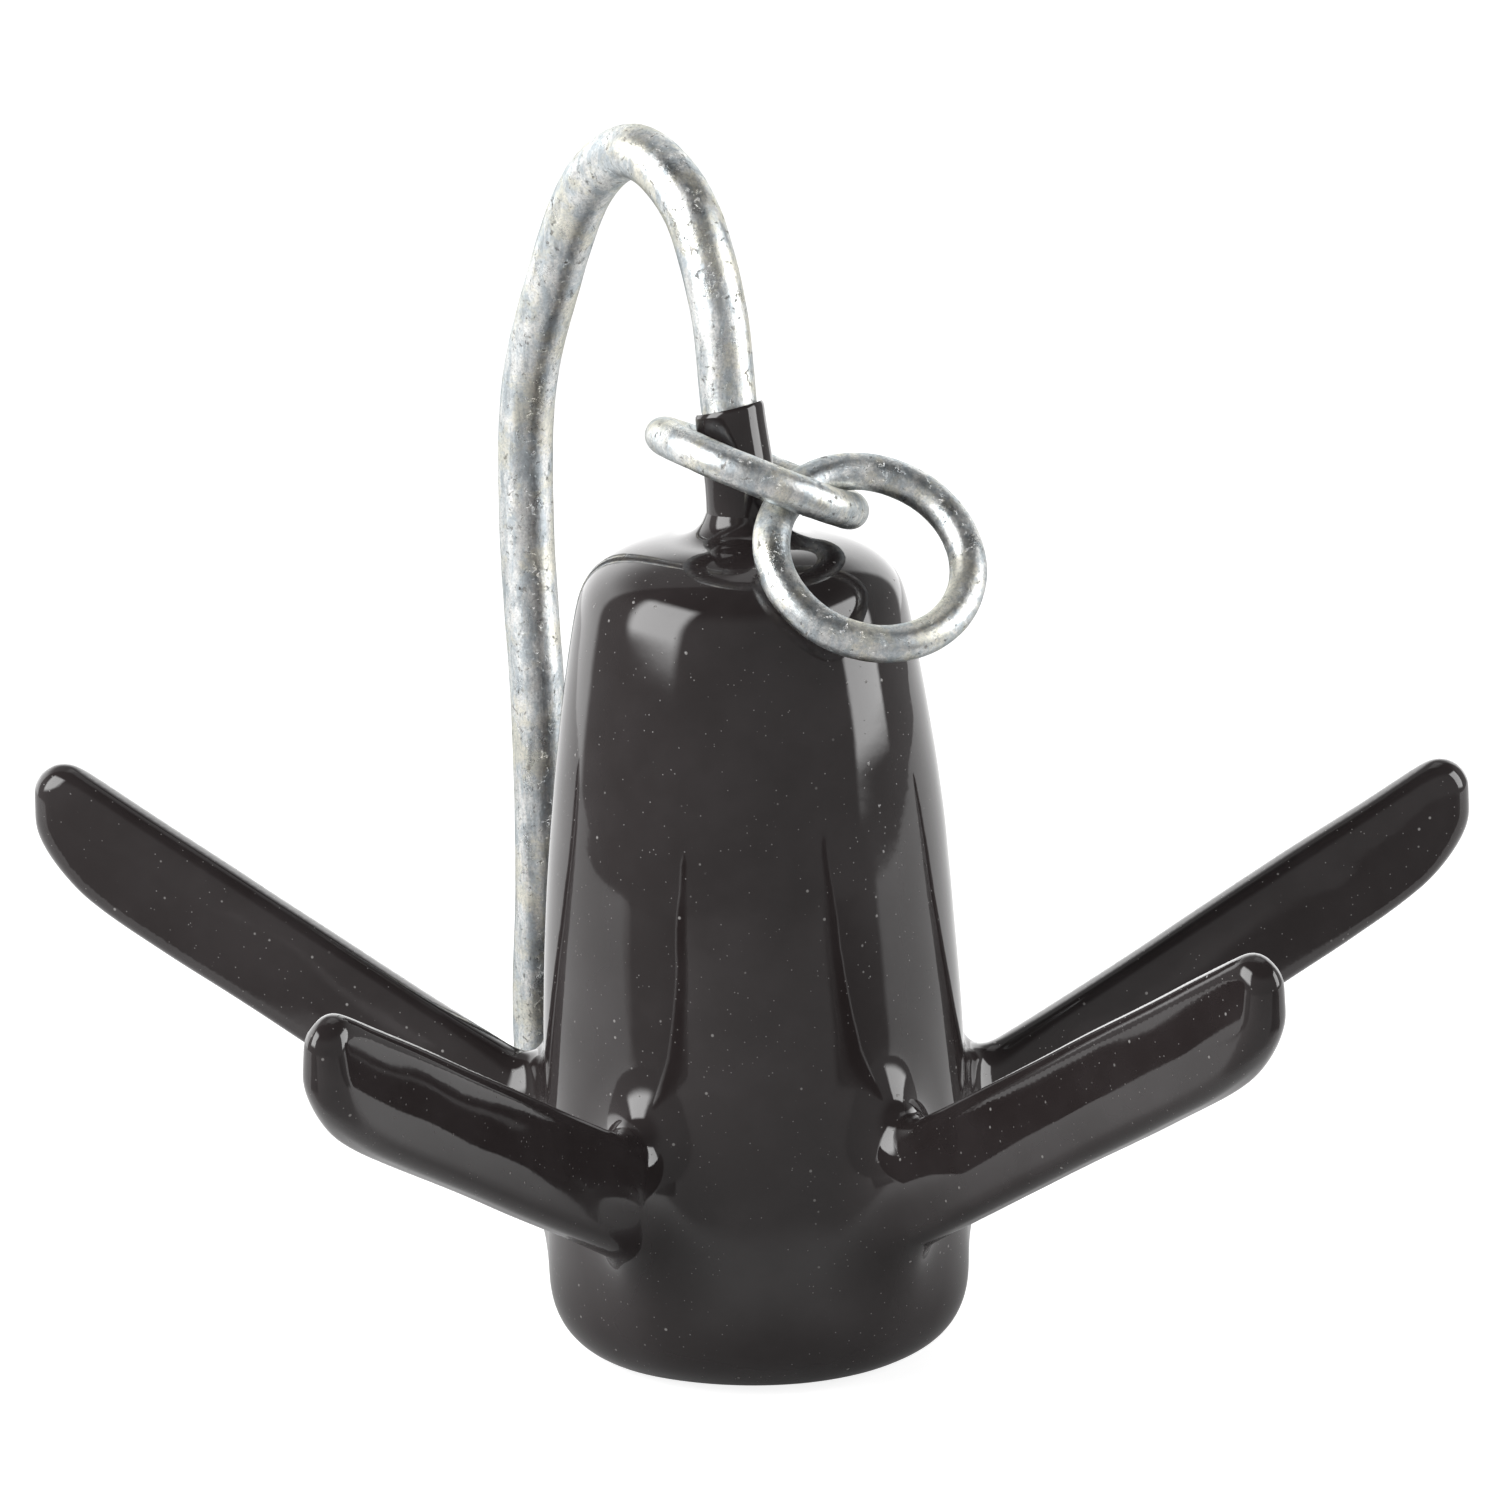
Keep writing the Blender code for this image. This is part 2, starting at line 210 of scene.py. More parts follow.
# Colours of the materials.
VINYL_BLACK = (0.0200, 0.0160, 0.0160)
VINYL_CLOUD = (0.0270, 0.0225, 0.0228)
VINYL_DUST = (0.34, 0.33, 0.32)
DUST_SIZES = ((640, 0.40, 0.65), (300, 0.66, 1.0))  # cell scale, threshold and strength
DUST_SPOT = (0.05, 0.13)  # a speck's solid core and soft edge, in cells
DUST_SPREAD = 0.06  # range over the threshold in which a speck fades in
ZINC_BRIGHT = (0.86, 0.86, 0.84)
ZINC_BLOOM = (0.54, 0.59, 0.62)
ZINC_YELLOW = (0.80, 0.76, 0.62)
ZINC_STREAK = (0.26, 0.28, 0.30)
ZINC_GRAIN = (0.30, 0.32, 0.33)
ZINC_PIT = (0.10, 0.085, 0.07)
ZINC_EDGE_TINT = (0.40, 0.41, 0.40, 1.0)  # dull oxide keeps zinc grey where it is seen edge on
IRON_GREY = (0.13, 0.125, 0.12)
IRON_BROWN = (0.17, 0.11, 0.075)

# The floor. The camera sees one plain tone. Reflections find zones on it, with painted shade round
# the base and two painted dark sectors.
FLOOR_REACH = 1.05
FLOOR_BACK = 2.5
FLOOR_RIM_POINTS = 48
FLOOR_TONE = 0.36
SEEN_GLOW = 0.86
FLOOR_GLOW = 0.68
FRONT_TONE = (0.35, 0.34, 0.34)
FRONT_GLOW = 0.16
FRONT_EDGE = (-0.18, -0.115)  # Y between which the front zone fades out
FRONT_SIDE = (68.0, 76.0)  # bearings to either side between which it fades out
FAR_EDGE = (0.10, 1.20)  # Y between which the far zone's glow grows
FAR_GLOW = 0.50
# Painted dark zones on the floor, seen only in reflections: they give the vinyl its dark bands.
PAINTED_DARK_SECTORS = ((-68.0, -39.0), (41.0, 76.0))  # bearings between which the floor is darker
PAINTED_DARK_TONE = (0.15, 0.15, 0.15)
PAINTED_DARK_START = (0.24, 0.30)  # distance from the axis over which a sector sets in
PAINTED_DARK_FADE = 2.0  # degrees of fading at each side of a sector's edge
# Painted shadow: the floor's glow is dimmed round the object's base, seen only in reflections.
PAINTED_SHADOW_REACH = (0.05, 0.20)  # distance from the axis over which the floor is dimmed
PAINTED_SHADOW_GLOW = 0.10

# The room that reflections find round the object.
ROOM_LIGHT = 0.42
SCREEN_LIGHT = 2.5
LEFT_SCREEN = (-121.0, -112.0)  # azimuths over which a screen's inner edge fades
RIGHT_SCREEN = (136.0, 146.0)
SCREEN_TOP = (0.40, 0.75)  # Z of the direction over which the room's light drops
CEILING_SHARE = 0.18
LIGHT_TARGET = (0.0, 0.0, 0.13)
# Name, azimuth, elevation, distance, size, radiance and share of soft edge of each box.
SOFTBOXES = (
    ("left_box", -66, 27.5, 1.2, (1.06, 1.06), 8.2, 0.20),
    ("right_box", 84, 15.5, 1.2, (0.74, 0.84), 6.2, 0.12),
    ("top_box", 150, 70, 1.5, (0.9, 0.9), 0.6, 0.20),
)

CAMERA_LENS = 211.6
CAMERA_SENSOR = 36
CAMERA_CLIP = (0.05, 50)
CAMERA_PLACE = (0.00091, -1.82099, 0.57489)
CAMERA_AIM = (0.00091, 0.0, 0.13157)
CAMERA_ROLL = -1.51


# ------------------------------------------------------------------ shapes shared by the pieces


def arc(centre, radii, start, end, count):
    """Points on an ellipse from the start angle to the end angle, in degrees, both included."""
    angles = np.radians(np.linspace(start, end, count + 1))
    across = centre[0] + radii[0] * np.cos(angles)
    up = centre[1] + radii[1] * np.sin(angles)
    return np.stack([across, up], axis=1)


def wall_radius(level):
    rise = np.maximum(0.0, level - TAPER_START) / (SHOULDER_START - TAPER_START)
    return BODY_RADIUS - (BODY_RADIUS - SHOULDER_RADIUS) * rise**TAPER_POWER


def path_lengths(path):
    return np.concatenate([[0.0], np.cumsum(np.linalg.norm(np.diff(path, axis=0), axis=1))])


def resampled(path, start, end, count):
    """Points at equal steps along a path between two distances from its first point."""
    lengths = path_lengths(path)
    wanted = np.linspace(start, end, count)
    return np.stack([np.interp(wanted, lengths, values) for values in path.T], axis=1)


def body_profile():
    """(radius, height) points of the body from the crown's middle down to the base's middle.

    The vinyl runs round the shoulder in one easy curve, so the profile is averaged along it.
    """
    shoulder = (SHOULDER_RADIUS - CROWN_RADIUS, BODY_HEIGHT - SHOULDER_START)
    levels = np.linspace(SHOULDER_START, BASE_ROUND, WALL_POINTS + 2)[1:-1]
    corner = (BODY_RADIUS - BASE_ROUND, BASE_ROUND)
    line = np.concatenate(
        [
            [(0.0, BODY_HEIGHT)],
            arc((CROWN_RADIUS, SHOULDER_START), shoulder, 90, 0, SHOULDER_POINTS),
            np.stack([wall_radius(levels), levels], axis=1),
            arc(corner, (BASE_ROUND, BASE_ROUND), 0, -90, BASE_ROUND_POINTS),
            [(0.0, 0.0)],
        ]
    )
    length = path_lengths(line)[-1]
    line = resampled(line, 0, length, int(length / PROFILE_STEP) + 1)
    for _ in range(PROFILE_ROUNDS):
        line[1:-1] = (line[:-2] + 2 * line[1:-1] + line[2:]) / 4
    return line


def fluke_outline(slope, tip):
    """Side view of a fluke as (distance out, height), the same as the CAD one with finer curves."""
    along = np.array([math.cos(slope), math.sin(slope)])
    across = np.array([-along[1], along[0]])
    middle = np.array([FLUKE_ROOT_RADIUS, FLUKE_ROOT_HEIGHT])
    upper = middle + across * FLUKE_DEPTH / 2
    lower = middle - across * FLUKE_DEPTH / 2
    centre_out = tip - FLUKE_TIP_ROUND
    centre_up = upper[1] + (-FLUKE_TIP_ROUND - (centre_out - upper[0]) * across[0]) / across[1]
    radii = (FLUKE_TIP_ROUND, FLUKE_TIP_ROUND)
    rounded = arc((centre_out, centre_up), radii, math.degrees(slope) + 90, 0, FLUKE_TIP_POINTS)
    corner = lower + along * ((tip - lower[0]) / along[0])
    start = corner + (0, FLUKE_TIP_DROP)
    finish = corner - along * FLUKE_TIP_SWEEP
    t = np.linspace(0, 1, FLUKE_SWEEP_POINTS)[:, None]
    swept = (1 - t) ** 2 * start + 2 * t * (1 - t) * corner + t**2 * finish
    buried = FLUKE_BURIED * along
    return np.concatenate([[upper - buried], rounded, swept, [lower - buried]])


def bearing_frame(bearing):
    """Unit vectors out along a bearing and sideways from it."""
    sine, cosine = math.sin(math.radians(bearing)), math.cos(math.radians(bearing))
    return np.array([sine, -cosine, 0.0]), np.array([cosine, sine, 0.0])


def hoop_path(steps):
    """The hoop's middle line: a Catmull-Rom curve through its route."""
    out, _ = bearing_frame(HOOP_BEARING)
    knots = [out * distance + (0, 0, level) for distance, level in HOOP_ROUTE]
    knots = [2 * knots[0] - knots[1]] + knots + [2 * knots[-1] - knots[-2]]
    path = []
    for a, b, c, d in zip(knots, knots[1:], knots[2:], knots[3:]):
        for t in np.arange(steps) / steps:
            square = (2 * a - 5 * b + 4 * c - d) * t**2
            cube = (3 * b - a - 3 * c + d) * t**3
            path.append(0.5 * (2 * b + (c - a) * t + square + cube))
    path.append(knots[-2])
    return np.array(path)


# ------------------------------------------------------------------ the skin as a field


def polygon_distance(points, outline):
    """Signed distance of 2-D points from a closed outline, negative inside."""
    nearest = np.full(len(points), np.inf)
    inside = np.zeros(len(points), bool)
    for a, b in zip(outline, np.roll(outline, -1, axis=0)):
        edge = b - a
        length = edge @ edge
        if length < LEAST_EDGE:
            continue
        to = points - a
        share = np.clip(to @ edge / length, 0, 1)
        nearest = np.minimum(nearest, ((to - share[:, None] * edge) ** 2).sum(1))
        crosses = (a[1] > points[:, 1]) != (b[1] > points[:, 1])
        if edge[1]:
            inside ^= crosses & (points[:, 0] < a[0] + (points[:, 1] - a[1]) * edge[0] / edge[1])
    return np.sqrt(nearest) * np.where(inside, -1, 1)


class Table:
    """A 2-D distance field worked out once on a grid and read with bilinear steps."""

    def __init__(self, outline, margin, step):
        self.low = outline.min(0) - margin
        self.step = step
        self.shape = np.ceil((outline.max(0) + margin - self.low) / step).astype(int) + 1
        across, up = np.meshgrid(*[np.arange(n) * step for n in self.shape], indexing="ij")
        grid = np.stack([across.ravel(), up.ravel()], axis=1) + self.low
        self.values = polygon_distance(grid, outline).reshape(self.shape)

    def __call__(self, points):
        place = np.clip((points - self.low) / self.step, 0, self.shape - LAST_CELL)
        cell = place.astype(int)
        u, v = (place - cell).T
        i, j = cell.T
        low = self.values[i, j] * (1 - u) + self.values[i + 1, j] * u
        high = self.values[i, j + 1] * (1 - u) + self.values[i + 1, j + 1] * u
        return low * (1 - v) + high * v


def eased(share):
    """0 to 1 with soft ends."""
    share = np.clip(share, 0, 1)
    return share * share * (3 - 2 * share)


def smooth_min(a, b, reach):
    """The nearer of two surfaces, with the corner between them filled over about half the reach."""
    blend = np.maximum(reach - np.abs(a - b), 0) / reach
    return np.minimum(a, b) - blend * blend * reach / 4


def path_distance(points, path):
    nearest = np.full(len(points), np.inf)
    for a, b in zip(path, path[1:]):
        to = points - a
        edge = b - a
        share = np.clip(to @ edge / (edge @ edge), 0, 1)
        nearest = np.minimum(nearest, ((to - share[:, None] * edge) ** 2).sum(1))
    return np.sqrt(nearest)


def ripples(points, seed, wavelengths, height, count):
    """A sum of sine waves in random directions: the slow unevenness of a dipped skin."""
    rng = np.random.default_rng(seed)
    total = np.zeros(len(points))
    for _ in range(count):
        direction = rng.normal(size=3)
        direction /= np.linalg.norm(direction)
        length = rng.uniform(*wavelengths)
        phase = rng.uniform(0, 2 * math.pi)
        total += np.sin(points @ direction * (2 * math.pi / length) + phase)
    return total * height / math.sqrt(count)


class SkinField:
    """Signed distance from the vinyl's surface. Body and flukes meet in soft corners."""

    def __init__(self):
        profile = body_profile()
        mirrored = profile[1:-1][::-1] * (-1, 1)
        self.body = Table(np.concatenate([profile, mirrored]), FIELD_MARGIN, FIELD_STEP)
        self.flukes = []
        for _, bearing, slope, tip in FLUKES:
            angle = math.radians(slope)
            table = Table(fluke_outline(angle, tip), FIELD_MARGIN, FIELD_STEP)
            self.flukes.append((bearing_frame(bearing), angle, tip, table))
        path = hoop_path(FIELD_HOOP_STEPS)
        out = path @ bearing_frame(HOOP_BEARING)[0]
        level = path[:, 2]
        self.neck = path[(level > NECK_SPAN[0]) & (level < NECK_SPAN[1]) & (out < NECK_REACH)]
        self.foot = path[(level < FOOT_TOP) & (out < FOOT_REACH)]

    def fluke(self, points, frame, slope, tip, table):
        out, side = frame
        flat = np.stack([points @ out, points[:, 2]], axis=1)
        above = (flat[:, 1] - FLUKE_ROOT_HEIGHT) * math.cos(slope)
        above = above - (flat[:, 0] - FLUKE_ROOT_RADIUS) * math.sin(slope)
        share = np.clip(above / (FLUKE_DEPTH / 2), -1, 1)
        root = eased((ROOT_OVAL_END - flat[:, 0]) / ROOT_OVAL_LENGTH)
        nose = np.clip((flat[:, 0] - tip + NOSE_LENGTH) / NOSE_LENGTH, 0, 1)
        edge = NOSE_ROUND * eased(NOSE_ROUND_RATE * nose - NOSE_ROUND_DELAY)
        rounding = FLUKE_EDGE_ROUND + edge
        depth = table(flat) + rounding
        half = FLUKE_WIDTH / 2 - NOSE_TAPER * nose**2
        half = half - UPPER_DRAFT * np.clip(share + UPPER_DRAFT_SHIFT, 0, None) ** UPPER_DRAFT_POWER
        half = half - LOWER_DRAFT * np.clip(-share, 0, None) ** 2
        width = np.abs(points @ side) - (half - rounding)
        outside = np.hypot(np.maximum(depth, 0), np.maximum(width, 0))
        bar = np.minimum(np.maximum(depth, width), 0) + outside - rounding
        oval = (np.hypot(above / ROOT_OVAL[0], points @ side / ROOT_OVAL[1]) - 1) * ROOT_OVAL[1]
        oval = np.maximum(oval, ROOT_DEPTH - flat[:, 0])
        return bar * (1 - root) + oval * root

    def lump(self, points, frame, slope):
        out, side = frame
        top = FLUKE_ROOT_HEIGHT + FLUKE_DEPTH / 2 / math.cos(slope) + LUMP_LIFT
        centre = out * (wall_radius(top) - LUMP_SINK) + side * LUMP_ASIDE + (0, 0, top)
        return np.linalg.norm(points - centre, axis=1) - LUMP_RADIUS

    def __call__(self, points):
        radial = np.hypot(points[:, 0], points[:, 1])
        total = self.body(np.stack([radial, points[:, 2]], axis=1))
        for path, fillet in ((self.neck, NECK_FILLET), (self.foot, FOOT_FILLET)):
            collar = path_distance(points, path) - SLEEVE_RADIUS + COLLAR_INSET
            total = smooth_min(total, collar, fillet)
        for frame, slope, tip, table in self.flukes:
            fluke = self.fluke(points, frame, slope, tip, table)
            total = smooth_min(total, fluke, ROOT_FILLET)
            total = smooth_min(total, self.lump(points, frame, slope), LUMP_FILLET)
        total = total + SKIN_INSET
        for wave in SKIN_WAVES:
            total = total + ripples(points, *wave)
        return total


# ------------------------------------------------------------------ mesh helpers


def add_piece(name, mesh, material):
    made = bpy.data.objects.new(name, mesh)
    bpy.context.scene.collection.objects.link(made)
    mesh.materials.append(material)
    mesh.shade_smooth()
    return made


def mesh_from(name, points, faces):
    mesh = bpy.data.meshes.new(name)
    mesh.from_pydata([tuple(p) for p in points], [], faces)
    mesh.update()
    return mesh


def lathe_solid(profile, segments):
    """Points and faces of a closed profile spun about Z."""
    ring = profile[1:-1]
    angles = np.linspace(0, 2 * math.pi, segments, endpoint=False)
    points = [(r * math.cos(a), r * math.sin(a), z) for a in angles for r, z in ring]
    count = len(ring)
    top, bottom = len(points), len(points) + 1
    points += [(0, 0, profile[0][1]), (0, 0, profile[-1][1])]
    faces = []
    for s in range(segments):
        here, there = s * count, (s + 1) % segments * count
        faces.append((top, here, there))
        faces += [(here + k, here + k + 1, there + k + 1, there + k) for k in range(count - 1)]
        faces.append((bottom, there + count - 1, here + count - 1))
    return points, faces


def slab_solid(outline, frame, half):
    """Points and faces of an outline in a bearing's upright plane, thickened to both sides."""
    out, side = frame
    count = len(outline)
    points = [out * u + (0, 0, z) + side * way * half for way in (1, -1) for u, z in outline]
    faces = [tuple(range(count)), tuple(range(2 * count - 1, count - 1, -1))]
    faces += [(k, k + count, (k + 1) % count + count, (k + 1) % count) for k in range(count)]
    return points, faces


def tube(path, radii, sides, sideways):
    """Points and faces of a round tube with closed ends.

    radii holds one number for each ring, or one for each side of each ring.
    """
    radii = np.asarray(radii, float).reshape(len(path), -1)
    radii = np.broadcast_to(radii, (len(path), sides))
    ahead = np.gradient(path, axis=0)
    ahead /= np.linalg.norm(ahead, axis=1)[:, None]
    outward = np.cross(ahead, sideways)
    angles = np.linspace(0, 2 * math.pi, sides, endpoint=False)
    spokes = np.cos(angles)[None, :, None] * sideways[None, None, :]
    spokes = spokes + np.sin(angles)[None, :, None] * outward[:, None, :]
    points = (path[:, None, :] + radii[:, :, None] * spokes).reshape(-1, 3)
    faces = []
    for s in range(len(path) - 1):
        for k in range(sides):
            here, beside = s * sides + k, s * sides + (k + 1) % sides
            faces.append((here, beside, beside + sides, here + sides))
    faces.append(tuple(range(sides))[::-1])
    faces.append(tuple(range((len(path) - 1) * sides, len(path) * sides)))
    return points, faces


def joined(solids):
    points, faces = [], []
    for some_points, some_faces in solids:
        start = len(points)
        points += [tuple(p) for p in some_points]
        faces += [tuple(start + k for k in face) for face in some_faces]
    return points, faces


def faces_outward(mesh):
    bm = bmesh.new()
    bm.from_mesh(mesh)
    bmesh.ops.recalc_face_normals(bm, faces=bm.faces)
    bm.to_mesh(mesh)
    bm.free()


def remeshed(mesh, voxel):
    """A new mesh of even quads over the union of the solids in this one."""
    helper = bpy.data.objects.new("remesh_helper", mesh)
    bpy.context.scene.collection.objects.link(helper)
    modifier = helper.modifiers.new("even", "REMESH")
    modifier.mode = "VOXEL"
    modifier.voxel_size = voxel
    graph = bpy.context.evaluated_depsgraph_get()
    made = bpy.data.meshes.new_from_object(helper.evaluated_get(graph))
    bpy.data.objects.remove(helper)
    return made


def coordinates(mesh):
    flat = np.empty(len(mesh.vertices) * 3, np.float32)
    mesh.vertices.foreach_get("co", flat)
    return flat.reshape(-1, 3).astype(float)


def gradient(points, field, value):
    """Unit direction in which the field grows, and how fast it does."""
    steps = np.eye(3) * GRADIENT_STEP
    rise = np.stack([field(points + step) - value for step in steps], axis=1) / GRADIENT_STEP
    length = np.maximum(np.linalg.norm(rise, axis=1), LEAST_SLOPE)[:, None]
    return rise / length, length


def draw_onto(mesh, field):
    """Moves the vertices onto the field's zero surface and evens them out along it."""
    count = len(mesh.vertices)
    ends = np.empty(len(mesh.edges) * 2, np.int32)
    mesh.edges.foreach_get("vertices", ends)
    ends = ends.reshape(-1, 2)
    here, there = np.concatenate([ends, ends[:, ::-1]]).T
    degree = np.bincount(here, minlength=count)[:, None]
    points = coordinates(mesh)
    for _ in range(DRAW_ROUNDS):
        value = field(points)
        across, slope = gradient(points, field, value)
        sums = [np.bincount(here, points[there, k], count) for k in range(3)]
        shift = np.stack(sums, axis=1) / degree - points
        shift -= across * (shift * across).sum(1)[:, None]
        pull = np.clip(value[:, None] / slope, -LARGEST_PULL, LARGEST_PULL)
        points += EVENING * shift - across * pull
    points[:, 2] = np.maximum(points[:, 2], 0.0)
    mesh.vertices.foreach_set("co", points.astype(np.float32).ravel())
    mesh.update()


# ------------------------------------------------------------------ materials


class Tree:
    """Short calls for building a node tree."""

    def __init__(self, tree):
        self.tree = tree

    def link(self, source, target):
        self.tree.links.new(source, target)

    def feed(self, socket, value):
        """Sets a socket to a number, or links it to another socket."""
        if isinstance(value, (int, float)):
            socket.default_value = value
        else:
            self.link(value, socket)

    def node(self, kind, **settings):
        made = self.tree.nodes.new(kind)
        for key, value in settings.items():
            setattr(made, key, value)
        return made

    def ramp(self, source, low, high, out_low=0.0, out_high=1.0):
        """Rescales a value from low..high to out_low..out_high, smoothly and clamped."""
        made = self.node("ShaderNodeMapRange", interpolation_type="SMOOTHSTEP")
        ends = {"From Min": low, "From Max": high, "To Min": out_low, "To Max": out_high}
        for name, value in ends.items():
            made.inputs[name].default_value = value
        self.link(source, made.inputs["Value"])
        return made.outputs["Result"]

    def math(self, operation, *values):
        made = self.node("ShaderNodeMath", operation=operation)
        for socket, value in zip(made.inputs, values):
            self.feed(socket, value)
        return made.outputs["Value"]

    def product(self, *values):
        total = values[0]
        for value in values[1:]:
            total = self.math("MULTIPLY", total, value)
        return total

    def split(self, vector):
        """The X, Y and Z of a vector."""
        made = self.node("ShaderNodeSeparateXYZ")
        self.link(vector, made.inputs[0])
        return made.outputs

    def bearing(self, place):
        """Angle of a split vector about Z, from -Y towards +X."""
        return self.math("ARCTAN2", place["X"], self.math("MULTIPLY", place["Y"], -1.0))

    def camera_ray(self):
        return self.node("ShaderNodeLightPath").outputs["Is Camera Ray"]


class Nodes(Tree):
    """The node tree of one material, with textures in object coordinates."""

    def __init__(self, name):
        self.material = bpy.data.materials.new(name)
        self.material.use_nodes = True
        super().__init__(self.material.node_tree)
        self.shader = self.tree.nodes["Principled BSDF"]
        self.place = self.node("ShaderNodeTexCoord").outputs["Object"]

    def noise(self, scale, detail=2.0, roughness=0.5, distortion=0.0, stretch=None):
        made = self.node("ShaderNodeTexNoise")
        made.inputs["Scale"].default_value = scale
        made.inputs["Detail"].default_value = detail
        made.inputs["Roughness"].default_value = roughness
        made.inputs["Distortion"].default_value = distortion
        place = self.place
        if stretch:
            mapping = self.node("ShaderNodeMapping")
            mapping.inputs["Scale"].default_value = stretch
            self.link(place, mapping.inputs["Vector"])
            place = mapping.outputs["Vector"]
        self.link(place, made.inputs["Vector"])
        return made.outputs["Fac"]

    def cells(self, scale):
        made = self.node("ShaderNodeTexVoronoi")
        made.inputs["Scale"].default_value = scale
        self.link(self.place, made.inputs["Vector"])
        return made.outputs

    def mix(self, share, a, b):
        """Mixes two colours. Each may be a tuple or a socket."""
        made = self.node("ShaderNodeMix", data_type="RGBA")
        self.link(share, made.inputs["Factor"])
        for name, value in (("A", a), ("B", b)):
            socket = next(s for s in made.inputs if s.name == name and s.type == "RGBA")
            if isinstance(value, tuple):
                socket.default_value = (*value, 1.0)
            else:
                self.link(value, socket)
        return next(s for s in made.outputs if s.type == "RGBA")

    def bump(self, height, distance, strength, after=None):
        made = self.node("ShaderNodeBump")
        made.inputs["Distance"].default_value = distance
        made.inputs["Strength"].default_value = strength
        self.link(height, made.inputs["Height"])
        if after is not None:
            self.link(after, made.inputs["Normal"])
        return made.outputs["Normal"]

    def set(self, **values):
        for key, value in values.items():
            socket = self.shader.inputs[key.replace("_", " ")]
            if isinstance(value, tuple):
                socket.default_value = value
            else:
                self.feed(socket, value)


def vinyl_material():
    """Glossy black plastisol: warm, faintly clouded, with dust on it and a soft orange peel."""
    n = Nodes("black_vinyl")
    cloud = n.ramp(n.noise(45, 3, 0.6), 0.35, 0.70)
    colour = n.mix(cloud, VINYL_BLACK, VINYL_CLOUD)
    spots = []
    for scale, least, weight in DUST_SIZES:
        grain = n.cells(scale)
        spot = n.ramp(grain["Distance"], *DUST_SPOT, 1.0, 0.0)
        chosen = n.ramp(grain["Color"], least, least + DUST_SPREAD, 0.0, weight)
        spots.append(n.math("MULTIPLY", spot, chosen))
    dust = n.math("MAXIMUM", *spots)
    colour = n.mix(n.math("MULTIPLY", dust, 0.60), colour, VINYL_DUST)
    scuff = n.ramp(n.noise(110, 6, 0.72, 0.6), 0.60, 0.74)
    gloss = n.ramp(n.noise(28, 4, 0.6), 0.30, 0.75, 0.035, 0.08)
    gloss = n.math("ADD", gloss, n.math("MULTIPLY", scuff, 0.06))
    gloss = n.math("ADD", gloss, n.math("MULTIPLY", dust, 0.5))
    peel = n.bump(n.noise(240, 2, 0.5), 0.00002, 0.5)
    speck = n.bump(dust, 0.00005, 0.6, after=peel)
    n.set(Base_Color=colour, Roughness=gloss, Normal=speck, Metallic=0.0, IOR=1.50)
    return n.material


def zinc_material():
    """Hot-dip galvanised steel: grained, with bluish bloom, yellow tints, streaks and pits."""
    n = Nodes("galvanised_steel")
    bloom = n.ramp(n.noise(260, 8, 0.74, 0.5, stretch=(1.0, 1.0, 0.40)), 0.40, 0.60)
    colour = n.mix(bloom, ZINC_BRIGHT, ZINC_BLOOM)
    blotch = n.ramp(n.noise(90, 6, 0.70), 0.48, 0.60)
    colour = n.mix(n.math("MULTIPLY", blotch, 0.6), colour, ZINC_YELLOW)
    streak = n.ramp(n.noise(420, 6, 0.7, 0.3, stretch=(1.0, 1.0, 0.12)), 0.52, 0.66)
    colour = n.mix(n.math("MULTIPLY", streak, 0.45), colour, ZINC_STREAK)
    grain = n.ramp(n.noise(1700, 4, 0.7), 0.40, 0.66)
    colour = n.mix(n.math("MULTIPLY", grain, 0.45), colour, ZINC_GRAIN)
    pits = n.ramp(n.noise(620, 6, 0.68, 0.4), 0.590, 0.650)
    specks = n.ramp(n.noise(260, 9, 0.78, 0.8), 0.630, 0.665)
    dark = n.math("MAXIMUM", n.math("MULTIPLY", pits, 0.6), specks)
    colour = n.mix(dark, colour, ZINC_PIT)
    rough = n.ramp(n.noise(140, 6, 0.65), 0.3, 0.7, 0.24, 0.46)
    rough = n.math("ADD", rough, n.math("MULTIPLY", dark, 0.35))
    swell = n.bump(n.noise(210, 3, 0.55), 0.00010, 0.5)
    fine = n.bump(n.noise(900, 6, 0.75), 0.00012, 0.8, after=swell)
    holes = n.bump(n.math("MULTIPLY", dark, -1.0), 0.00018, 1.0, after=fine)
    n.set(Base_Color=colour, Roughness=rough, Normal=holes, Metallic=1.0)
    n.set(Specular_Tint=ZINC_EDGE_TINT)
    return n.material


def iron_material():
    """Sand-cast grey iron with a thin brown bloom."""
    n = Nodes("cast_iron")
    rust = n.ramp(n.noise(80, 6, 0.65), 0.45, 0.75)
    colour = n.mix(rust, IRON_GREY, IRON_BROWN)
    rough = n.ramp(n.noise(300, 4, 0.6), 0.3, 0.7, 0.55, 0.8)
    sand = n.bump(n.noise(900, 4, 0.6), 0.0002, 0.8)
    n.set(Base_Color=colour, Roughness=rough, Normal=sand, Metallic=0.6)
    return n.material


def faded_edge(bearing):
    return math.radians(bearing - PAINTED_DARK_FADE), math.radians(bearing + PAINTED_DARK_FADE)


